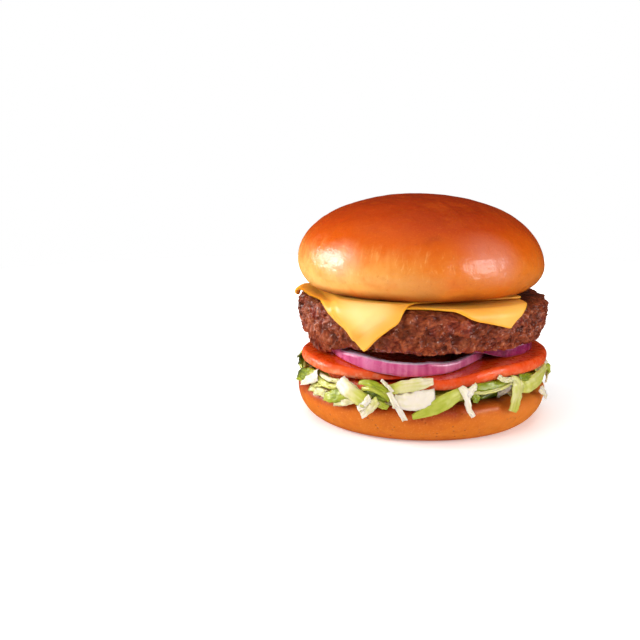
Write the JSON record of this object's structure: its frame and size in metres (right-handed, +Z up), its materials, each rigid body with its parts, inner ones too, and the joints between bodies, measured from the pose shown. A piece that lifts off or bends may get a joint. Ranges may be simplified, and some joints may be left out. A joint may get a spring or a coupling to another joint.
{
  "type": "cheeseburger",
  "caption": "Cheeseburger in a glossy round bun, with beef patty, melted cheese, red onion rings, tomato slices and shredded lettuce.",
  "frame": {"origin": "middle of the flat underside of the bottom bun, on the surface that the burger stands on", "axes": "+Z up through the layers; -Y is the front, the side with the large hanging corner of cheese; +X is to the right seen from the front"},
  "size_m": [0.1224, 0.1215, 0.1011],
  "materials": {
    "bun_crust": "baked crust with a soft egg-wash gloss, golden to deep brown",
    "lettuce": "fresh cut leaf, pale ribs and green blades",
    "tomato": "wet cut tomato with a paler rim",
    "red_onion": "translucent purple skin with pale cut edges",
    "beef": "browned coarse ground meat with small wet glints",
    "cheese": "smooth soft sheet with a satin gloss"
  },
  "bodies": {
    "root": {"bun_bottom": "bun_crust", "shredded_lettuce": "lettuce", "tomato_slice_left": "tomato", "tomato_slice_right": "tomato", "onion_ring_front": "red_onion", "onion_ring_back": "red_onion", "patty": "beef", "cheese_slice_lower": "cheese", "cheese_slice_upper": "cheese", "bun_top": "bun_crust"}
  },
  "joints": []
}
